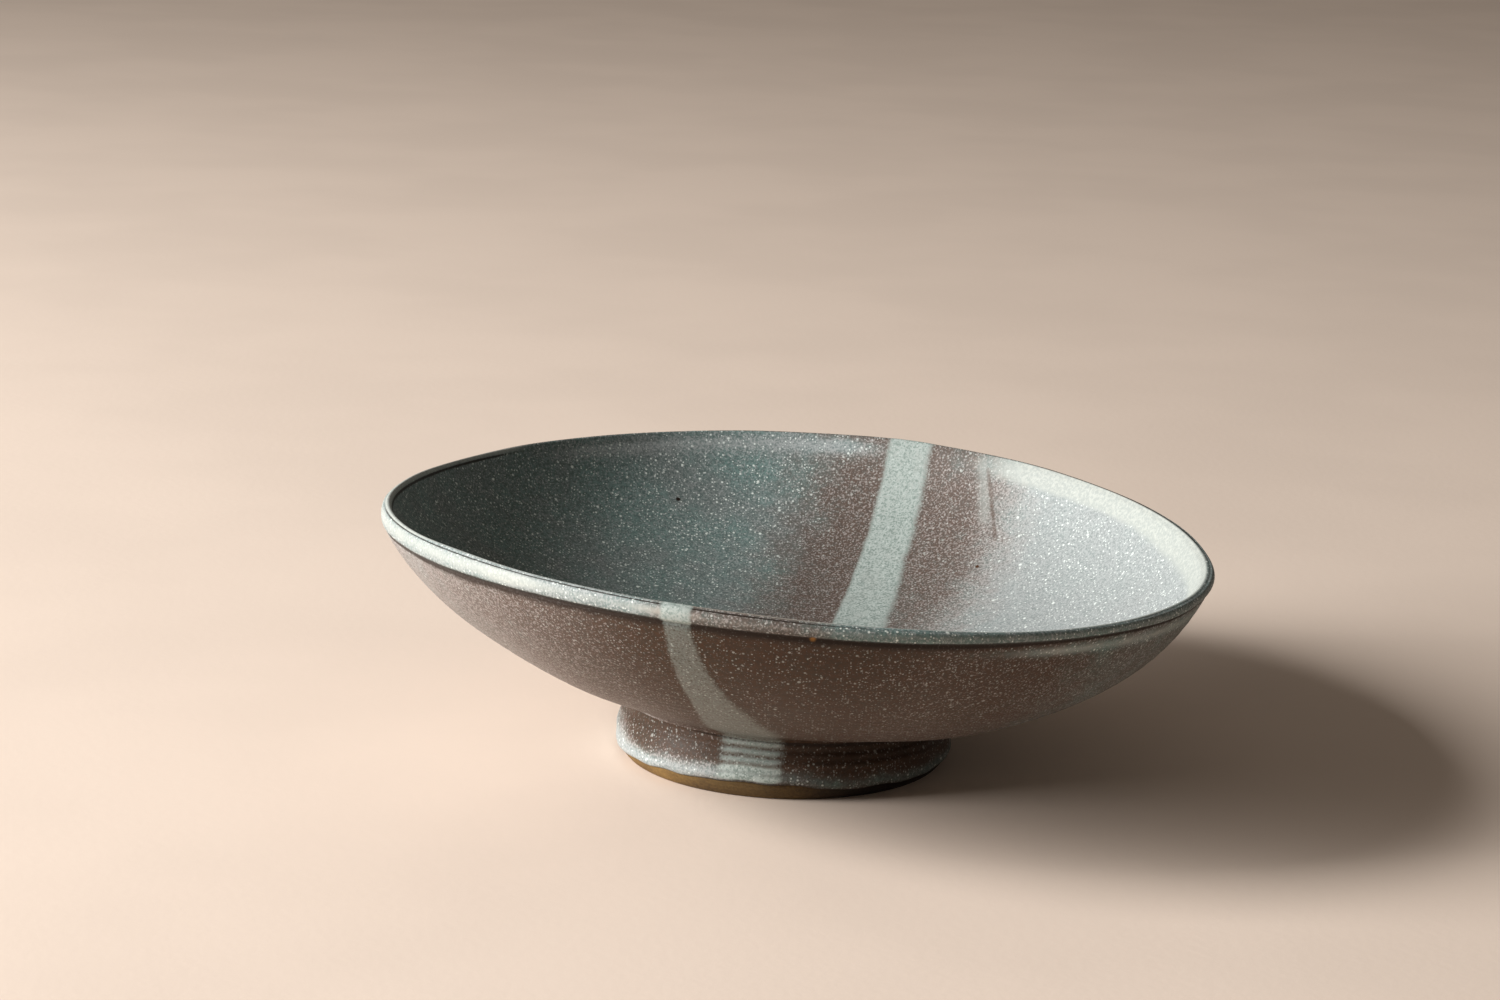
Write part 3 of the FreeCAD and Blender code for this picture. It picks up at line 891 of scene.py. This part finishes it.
def glaze_frost(nodes, colour, grain, iron, frost):
    """Fine pale specks that crowd together until they cover the ground."""
    dust = nodes.between(nodes.plus(grain.grain, nodes.times(frost, 0.34)), 0.60, 0.80)
    tone = nodes.mix(nodes.between(nodes.blend(grain.grain, grain.fine, 0.4), 0.42, 0.58), FROST_DEEP, FROST)
    tone = nodes.over(tone, FROST_WARM, iron, 0.6)
    colour = nodes.over(colour, tone, dust, 0.62)
    veil = nodes.math("POWER", frost, 1.4)
    return nodes.over(colour, tone, veil, 0.58)


def glaze_colour(nodes):
    """The speckled glaze's colour, with the specks and noises that its finish needs as well."""
    grain = GlazeGrain(nodes)
    frost = nodes.attribute("frost")
    colour, iron = glaze_ground(nodes, grain)
    colour = glaze_frost(nodes, colour, grain, iron, frost)
    specks = glaze_specks(nodes, iron, frost)
    colour = nodes.mix(specks, colour, SPECK_WHITE)
    break_noise = nodes.blend(grain.cloudy, grain.fine, 0.6)
    # Pooled pale glaze, with a painted highlight along the front lip's inner ridge.
    cream = nodes.break_up(nodes.attribute("cream"), break_noise, 0.30, 1.1)
    cream_tone = nodes.mix(nodes.between(grain.fine, 0.4, 0.58), CREAM, CREAM_GREY)
    cream_tone = nodes.over(cream_tone, BEIGE, iron, 0.8)
    colour = nodes.over(colour, cream_tone, cream, 0.92)
    # Dark where the glaze broke on edges, dark in the lip's groove and channel, and painted shade under the
    # front of the lip and on the foot's shadow side.
    rust_and_shade = nodes.break_up(nodes.attribute("rust_and_shade"), nodes.blend(grain.cloudy, grain.fine, 0.5), 0.25, 0.8)
    colour = nodes.over(colour, RUST_AND_SHADE_DARK, rust_and_shade, 0.9)
    return glaze_marks(nodes, colour), specks, grain


def glaze_marks(nodes, colour):
    """A pinhole, an iron spot, an orange one, and the crease of a drip with its pale run."""
    colour = nodes.over(colour, CREAM_GREY, nodes.streak(*RUN, 4.4, 0.95), 0.42)
    for start, end in zip(CREASE, CREASE[1:]):
        colour = nodes.over(colour, IRON_RED, nodes.streak(start, end, 1.3, 0.8), 0.45)
    colour = nodes.mix(nodes.spot(IRON_SPOT, 1.0), colour, IRON_RED)
    colour = nodes.mix(nodes.spot(ORANGE_SPOT, 1.5, 0.8), colour, ORANGE)
    return nodes.mix(nodes.spot(PINHOLE, 1.2), colour, RUST_AND_SHADE_DARK)


def glaze_finish(nodes, colour, specks, grain):
    roughness = nodes.plus(0.42, nodes.times(nodes.blend(grain.cloudy, grain.fine, 0.5), 0.24))
    height = nodes.plus(nodes.times(specks, 0.35), nodes.times(grain.fine, 0.5))
    normal = nodes.bump(height, 0.07)
    normal = nodes.bump(nodes.noise(6, 2), 0.16, normal)
    return nodes.finish(colour, roughness, normal, IOR=1.5, Specular_IOR_Level=0.18)


def speckled_glaze():
    nodes = Nodes("speckled_glaze")
    return glaze_finish(nodes, *glaze_colour(nodes))


def pale_glaze():
    """The second pour: pale and fine-grained, dissolving into specks of the first one at its edges."""
    nodes = Nodes("pale_glaze")
    under, specks, grain = glaze_colour(nodes)
    cover = nodes.times(nodes.attribute("cover"), 1.08)
    cover = nodes.nudge(cover, nodes.blend(grain.grain, grain.fine, 0.35), 1.7)
    cover = nodes.between(cover, 0.0, 1.0)
    mottle = nodes.between(nodes.blend(grain.grain, grain.fine, 0.5), 0.42, 0.60)
    pale = nodes.over(PALE, PALE_DEEP, mottle, 0.9)
    pale = nodes.over(pale, CREAM_GREY, nodes.between(grain.cloudy, 0.45, 0.7), 0.3)
    pale = nodes.over(pale, SPECK_WHITE, specks, 0.8)
    return glaze_finish(nodes, nodes.mix(cover, under, pale), specks, grain)


CLAY_OCHRE = (0.24, 0.140, 0.036)
CLAY_TOASTED = (0.125, 0.066, 0.018)
# The dark of painted shade on the clay's front and right, away from the light.
CLAY_SHADE_DARK = (0.010, 0.006, 0.004)
CLAY_SPOT = (0.05, 0.028, 0.018)


def bare_clay():
    """Toasted stoneware: sandy, matt and spotted with iron, with painted shade darkening it at the front and
    most on the right.
    """
    nodes = Nodes("bare_clay")
    broad = nodes.noise(24, 3)
    fine = nodes.noise(1.1, 4, 0.7)
    sand = nodes.noise(0.35, 2)
    toast = nodes.between(nodes.blend(broad, fine, 0.3), 0.38, 0.62)
    colour = nodes.mix(toast, CLAY_OCHRE, CLAY_TOASTED)
    # Painted shade: the clay darkened where the pot's shadow falls on it.
    painted_shade = nodes.nudge(nodes.attribute("painted_shade"), fine, 0.25)
    colour = nodes.mix(nodes.between(painted_shade, 0.0, 1.0), colour, CLAY_SHADE_DARK)
    colour = nodes.mix(nodes.specks(2.6, 0.5, 0.4), colour, CLAY_SPOT)
    colour = nodes.over(colour, CLAY_TOASTED, nodes.between(sand, 0.5, 0.75), 0.15)
    roughness = nodes.plus(0.72, nodes.times(fine, 0.2))
    normal = nodes.bump(nodes.plus(sand, fine), 0.12)
    return nodes.finish(colour, roughness, normal, IOR=1.45)


# ---------------- the clay

CLAY_WANDER = 0.10
SCRATCH_SPACING = 1.7
SCRATCH_DEPTH = 0.06
TRIM_SPACING = 3.4
TRIM_DEPTH = 0.16
TRIM_ROUGHNESS = 0.05
CLAY_FOOT_ROW = 0.5
CLAY_UNDER_ROW = 0.7
SLIP_BEAD = 0.5


def turned_surface(profile_radius, profile_height, relief):
    """Grid of a round piece's points: rows along its section, moved out along the section's normal."""
    run = np.gradient(np.stack([profile_radius, profile_height], -1), axis=0)
    run /= np.maximum(np.linalg.norm(run, axis=1), 1e-9)[:, None]
    radius = profile_radius[:, None] + run[:, 1:2] * relief
    height = profile_height[:, None] - run[:, 0:1] * relief
    return np.stack([radius * np.cos(ANGLES), radius * np.sin(ANGLES), height], -1)


def even_section(corners, spacing):
    """A section resampled at even steps, so that its corners become small rounds."""
    corners = np.asarray(corners, float)
    path = np.concatenate([[0], np.cumsum(np.hypot(*np.diff(corners, axis=0).T))])
    steps = np.linspace(0, path[-1], max(3, round(path[-1] / spacing)))
    return np.interp(steps, path, corners[:, 0]), np.interp(steps, path, corners[:, 1]), steps


def make_clay_foot(material):
    outer = foot_places(0, 0)[:, :2]
    neck_radius, neck_height = neck(0)
    inner = [(WELL_RADIUS, LAND_HEIGHT - SLIP_THICKNESS), (CONTACT_RADIUS - CONTACT_WIDTH, 0)]
    top = (neck_radius, neck_height - SLIP_THICKNESS)
    below_top = outer[outer[:, 1] < top[1] - 0.2]
    radius, height, steps = even_section(np.concatenate([inner, below_top, [top]]), CLAY_FOOT_ROW)
    steps = steps[:, None]
    wander = waves(steps, (3, 7, 12, 19), 30, seed=21)
    scratches = ripple(steps, SCRATCH_SPACING, ANGLES + waves(steps, (1, 2), 20, seed=22))
    clear_of_table = smoothstep(0.0, 1.2, height)[:, None]
    relief = clear_of_table * (CLAY_WANDER * wander + SCRATCH_DEPTH * scratches)
    grid = turned_surface(radius, height, relief)
    # Painted shade on the clay: a little all round, more at the front, most on the right, the side away from
    # the light.
    painted_shade = 0.25 + 0.32 * facing(-92, 14, 34) + 0.75 * facing(-25, 22, 42)
    rings = [(row, {"painted_shade": painted_shade[::2]}) for row in grid[:, ::2]]
    return ring_body("clay_foot", rings, True, material)


def make_slip_seam(material):
    """The slip that joins foot and basin, squeezed out a little into the well."""
    neck_radius, neck_height = neck(0)
    bead = WELL_RADIUS - SLIP_BEAD - SLIP_BEAD / 2 * waves(0.0, (5, 9, 17, 26), 1, seed=31)
    levels = [
        (WELL_RADIUS, LAND_HEIGHT - SLIP_THICKNESS),
        (neck_radius, neck_height - SLIP_THICKNESS),
        (neck_radius, neck_height),
        (WELL_RADIUS, LAND_HEIGHT),
    ]
    rings = [(alter(radius, height, 0, ANGLES), NO_MASKS) for radius, height in levels]
    middle = LAND_HEIGHT - SLIP_THICKNESS / 2
    ring = np.stack(np.broadcast_arrays(bead * np.cos(ANGLES), bead * np.sin(ANGLES), middle), -1)
    rings.append((ring, NO_MASKS))
    return ring_body("slip_seam", rings, True, material)


def make_clay_basin(material):
    """The thrown clay. Only its underside shows, inside the foot, with its trimming rings."""
    under = dish_places((WELL_RADIUS, LAND_HEIGHT), WELL_HEIGHT)
    radius, height, steps = even_section(under[:, :2], CLAY_UNDER_ROW)
    steps = steps[:, None]
    trim = TRIM_DEPTH * ripple(steps, TRIM_SPACING, ANGLES) * smoothstep(0, 5, steps)
    trim *= smoothstep(0.5, 8, radius)[:, None]
    rough = TRIM_ROUGHNESS * waves(steps, (5, 9, 15, 22), 12, seed=41)
    grid = turned_surface(radius, height, (trim + rough) * (radius > 1)[:, None])
    seen = []
    for row, ring_radius in zip(grid[:-1], radius[:-1]):
        seen.append((row[::max(2, ring_step(ring_radius))], NO_MASKS))
    hidden = plain_rings(outer_wall_places(0), HIDDEN_ROWS, (2, HIDDEN_STEP, HIDDEN_STEP))
    hidden += rings_under_liner(COARSE_STEPS)
    return ring_body("clay_basin", [middle_point(height[-1])] + seen[::-1] + hidden, False, material)


# ---------------- the pale band

BAND_THICKNESS = 0.14
BAND_UNDER = 0.15
BAND_EDGE_SINK = 0.06
BAND_WANDER = 0.03
BAND_ROW = 1.6
BAND_FEATHER = 0.62
BAND_INSIDE_RIGHT = 1.42
BAND_ON_LIP = 0.8
BAND_FIRST_ROW = 3
BAND_SEED = 51
WALL_COVER = 0.38


def band_columns(along):
    """Where the band's columns run at each place along it: shares of its half width, edges wandering."""
    draw = np.random.default_rng(BAND_SEED)
    shares = np.linspace(-1, 1, BAND_COLUMNS)
    edge = np.zeros(along.shape + (2,))
    for length in (9, 17, 31, 60):
        edge += ripple(along[..., None], length, draw.uniform(0, 2 * np.pi, 2))
    stretch = np.where(shares < 0, edge[..., 0:1], edge[..., 1:2]) * BAND_WANDER / 2
    return shares * (1 + stretch)


def band_spread(skin, row, front):
    """How far the band has run out to each side on a row: factors for its left and right half."""
    down = skin.down[row].mean()
    if down > 0:
        left = 0.97 + 0.75 * smoothstep(50, 116, down) - 0.12 * hump(down, 52, 20)
        right = 0.84 + 1.7 * smoothstep(-5, 75, down) - 1.2 * smoothstep(80, 116, down)
        return left, right
    outer = smoothstep(170, 90, skin.turn[row, 0])
    if front:
        return 1 + 0.15 * outer, 1.0
    return 1.0, BAND_INSIDE_RIGHT


def band_at_row(skin, row, front):
    """The band's columns on one whole row of the skin, as fractional skin columns."""
    across, along, half = band_place(skin.points[row, :, 0], skin.points[row, :, 1])
    middle_column = AROUND * (0.75 if front else 0.25)
    columns = np.arange(AROUND)
    off = np.abs((columns - middle_column + AROUND / 2) % AROUND - AROUND / 2)
    picks = np.sort(columns[off < AROUND / 5])
    if not front:
        picks = picks[::-1]
    ratio = across[picks] / half[picks]
    centre = np.interp(0, ratio, along[picks])
    wanted = band_columns(np.array([centre]))[0]
    left, right = band_spread(skin, row, front)
    return np.interp(wanted * np.where(wanted < 0, left, right), ratio, picks.astype(float))


def inside_row(skin, x, y):
    """The fractional row and column of the inside surface over a plan point."""
    column = (math.atan2(y, x) / (2 * math.pi) * AROUND) % AROUND
    first = int(column) % AROUND
    share = column - int(column)
    inner = skin.points[skin.brink:]
    near, far = inner[:, first, :2], inner[:, (first + 1) % AROUND, :2]
    reach = np.hypot(near[:, 0], near[:, 1]) * (1 - share) + np.hypot(far[:, 0], far[:, 1]) * share
    rows = np.arange(len(inner)) + skin.brink
    return np.interp(math.hypot(x, y), reach[::-1], rows[::-1]), column


def band_mesh(name, skin, row, column, strength, material):
    """A closed lens of glaze on the skin, over a grid of fractional rows and columns."""
    points, normals, masks = skin.sample(row, column)
    off_middle = np.abs(np.linspace(-1, 1, BAND_COLUMNS))
    stand = BAND_THICKNESS * smoothstep(1.0, 0.5, off_middle)
    stand -= BAND_EDGE_SINK * smoothstep(0.9, 1, off_middle)
    top = points + normals * stand[:, None]
    bottom = points - normals * BAND_UNDER
    count, width = row.shape
    numbers = np.arange(count * width).reshape(count, width)
    under = numbers + count * width
    faces = []
    for grid in (numbers, under[:, ::-1]):
        corners = [grid[:-1, :-1], grid[:-1, 1:], grid[1:, 1:], grid[1:, :-1]]
        faces.extend(np.stack(corners, -1).reshape(-1, 4).tolist())
    around = np.concatenate([numbers[0, :], numbers[1:, -1], numbers[-1, -2::-1], numbers[-2:0:-1, 0]])
    below = around + count * width
    faces.extend(np.stack([np.roll(around, -1), around, below, np.roll(below, -1)], -1).tolist())
    cover = smoothstep(1.0, BAND_FEATHER, off_middle) * strength * np.ones(row.shape)
    flat = {mask: np.tile(values.ravel(), 2) for mask, values in masks.items()}
    flat["cover"] = np.tile(cover.ravel(), 2)
    vertices = np.concatenate([top.reshape(-1, 3), bottom.reshape(-1, 3)])
    return make_mesh(name, vertices, faces, flat, material)


def make_inside_band(skin, material):
    """Over the front lip, down across the floor, and up over the back lip."""
    lip_rows = np.arange(skin.groove, skin.brink + 1)
    front = np.array([band_at_row(skin, row, True) for row in lip_rows])
    back = np.array([band_at_row(skin, row, False) for row in lip_rows[::-1]])
    ends = []
    for columns in (front[-1], back[0]):
        points, _, _ = skin.sample(np.full(BAND_COLUMNS, float(skin.brink)), columns)
        ends.append(band_place(points[:, 0], points[:, 1])[1])
    count = round((ends[1].mean() - ends[0].mean()) / BAND_ROW)
    rows, columns, strengths = [], [], [np.full(len(lip_rows), BAND_ON_LIP)]
    for share in np.linspace(0, 1, count)[1:-1]:
        along = ends[0] * (1 - share) + ends[1] * share
        shares = np.diagonal(band_columns(along))
        far = smoothstep(20, 60, along)
        right = 1 + (BAND_INSIDE_RIGHT - 1 + 0.35 * smoothstep(115, 60, along)) * far
        left = 1 - 0.25 * far * smoothstep(130, 60, along)
        across = shares * np.where(shares < 0, left, right) * band_half_width(along)
        x, y = band_plan(across, along)
        places_here = [inside_row(skin, *plan) for plan in zip(x, y)]
        rows.append([place[0] for place in places_here])
        columns.append([place[1] for place in places_here])
        strengths.append([1 + (BAND_ON_LIP - 1) * smoothstep(95, 145, along.mean())])
    fixed = np.ones(BAND_COLUMNS)
    row = np.concatenate([lip_rows[:, None] * fixed, rows, lip_rows[::-1, None] * fixed])
    column = np.concatenate([front, columns, back])
    strength = np.concatenate(strengths + strengths[:1])[:, None]
    return band_mesh("pale_band_inside", skin, row, column, strength, material)


def make_outside_band(skin, name, front, strengths, material):
    """The band down the wall or the foot, over the rows that strengths, one for each, cover."""
    rows = np.array(list(strengths))
    column = np.array([band_at_row(skin, row, front) for row in rows])
    strength = np.array(list(strengths.values()))[:, None]
    return band_mesh(name, skin, rows[:, None] * np.ones(BAND_COLUMNS), column, strength, material)


def wall_strengths(skin):
    """The band is thin on the wall: the brown shows through it."""
    return {row: WALL_COVER for row in range(skin.neck, skin.groove + 1)}


def foot_strengths(skin):
    """On the foot the band pools on the flare, breaks on the ridges and dissolves above the wax."""
    strengths = {}
    for row in range(BAND_FIRST_ROW, skin.neck + 1):
        above = (skin.path[row] - skin.wax_path).mean()
        ridge = ripple(skin.path[row].mean() - skin.foot_top, RIDGE_SPACING)
        pooled = WALL_COVER + 0.1 + 0.5 * hump(above, 3.4, 2.6)
        strengths[row] = pooled * (1 + 0.45 * ridge) * smoothstep(-0.6, 1.6, above)
    return strengths


# ---------------- camera, light and floor

CAMERA_PLACE = Vector((-9.5, -1244.8, 398.4)) * MM
CAMERA_YAW = math.radians(-0.254)
CAMERA_PITCH = math.radians(-13.752)
CAMERA_ROLL = math.radians(1.953)
CAMERA_LENS = 85.0
CAMERA_SENSOR = 36.0


def make_camera():
    ahead = Vector((
        math.sin(CAMERA_YAW) * math.cos(CAMERA_PITCH),
        math.cos(CAMERA_YAW) * math.cos(CAMERA_PITCH),
        math.sin(CAMERA_PITCH),
    ))
    level = ahead.cross(Vector((0, 0, 1))).normalized()
    right = level * math.cos(CAMERA_ROLL) + level.cross(ahead) * math.sin(CAMERA_ROLL)
    up = right.cross(ahead)
    data = bpy.data.cameras.new("camera")
    data.lens = CAMERA_LENS
    data.sensor_width = CAMERA_SENSOR
    camera = new_object("camera", data)
    camera.matrix_world = Matrix.Translation(CAMERA_PLACE) @ Matrix((right, up, -ahead)).transposed().to_4x4()
    bpy.context.scene.camera = camera


KEY_AZIMUTH = math.radians(192)
KEY_ELEVATION = math.radians(24)
KEY_DISTANCE = 3.0
KEY_SIZE = (1.1, 2.0)
KEY_WATTS = 207
KEY_COLOUR = (1.0, 0.99, 0.97)
FILL_COLOUR = (1.0, 0.88, 0.76)
FILL_STRENGTH = 0.145


def make_key_light():
    """One large soft box, to the left of the bowl and a little in front of it."""
    data = bpy.data.lights.new("key_light", "AREA")
    data.shape = "RECTANGLE"
    data.size, data.size_y = KEY_SIZE
    data.energy = KEY_WATTS
    data.color = KEY_COLOUR
    lamp = new_object("key_light", data)
    aim = Vector((
        math.cos(KEY_AZIMUTH) * math.cos(KEY_ELEVATION),
        math.sin(KEY_AZIMUTH) * math.cos(KEY_ELEVATION),
        math.sin(KEY_ELEVATION),
    ))
    lamp.location = aim * KEY_DISTANCE
    lamp.rotation_euler = aim.to_track_quat("Z", "Y").to_euler()


def make_fill_light():
    """Weak, warm light from all round, as from the pale floor and walls of a studio."""
    world = bpy.data.worlds.new("studio")
    world.use_nodes = True
    background = world.node_tree.nodes["Background"]
    background.inputs["Color"].default_value = (*FILL_COLOUR, 1)
    background.inputs["Strength"].default_value = FILL_STRENGTH
    bpy.context.scene.world = world


FLOOR_COLOUR = (0.80, 0.665, 0.565)
FLOOR_SHADE = tuple(0.96 * part for part in FLOOR_COLOUR)
FLOOR_HALF = 6.0
FLOOR_DROP = 0.05


def make_floor():
    nodes = Nodes("studio_floor")
    fine = nodes.noise(4, 3)
    tint = nodes.mix(nodes.between(nodes.noise(160, 3), 0.35, 0.65), FLOOR_COLOUR, FLOOR_SHADE)
    material = nodes.finish(tint, 0.8, nodes.bump(fine, 0.05), IOR=1.4)
    mesh = bpy.data.meshes.new("floor")
    level = -FLOOR_DROP * MM
    corners = [(x * FLOOR_HALF, y * FLOOR_HALF, level) for x, y in ((-1, -1), (1, -1), (1, 1), (-1, 1))]
    mesh.from_pydata(corners, [], [(0, 1, 2, 3)])
    mesh.materials.append(material)
    floor = new_object("floor", mesh)


def light_studio():
    make_key_light()
    make_fill_light()
    bpy.context.scene.view_settings.view_transform = "Standard"


# ---------------- the whole bowl


def make_bowl():
    """Every piece of the bowl, with its material slot and the CAD nodes that it replaces."""
    skin = Skin()
    speckled, pale, clay = speckled_glaze(), pale_glaze(), bare_clay()
    bands = [(make_inside_band(skin, pale), "pale_glaze", ["stripe_inside"])]
    for part, strengths in (("", wall_strengths(skin)), ("_foot", foot_strengths(skin))):
        for side in ("front", "back"):
            name = f"pale_band_{side}{part}"
            band = make_outside_band(skin, name, side == "front", strengths, pale)
            bands.append((band, "pale_glaze", [f"stripe_{side}{part}"]))
    return [
        (make_liner(skin, speckled), "speckled_glaze", ["liner_glaze"]),
        (make_wall_coat(skin, speckled), "speckled_glaze", ["outer_glaze"]),
        (make_foot_coat(skin, speckled), "speckled_glaze", ["foot_glaze"]),
        *bands,
        (make_clay_basin(clay), "bare_clay", ["basin"]),
        (make_clay_foot(clay), "bare_clay", ["foot_ring"]),
        (make_slip_seam(clay), "bare_clay", ["luting_slip"]),
    ]


make_camera()
light_studio()
make_floor()
for piece, slot, nodes_replaced in make_bowl():
    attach(piece, "root")
    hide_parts(*nodes_replaced)
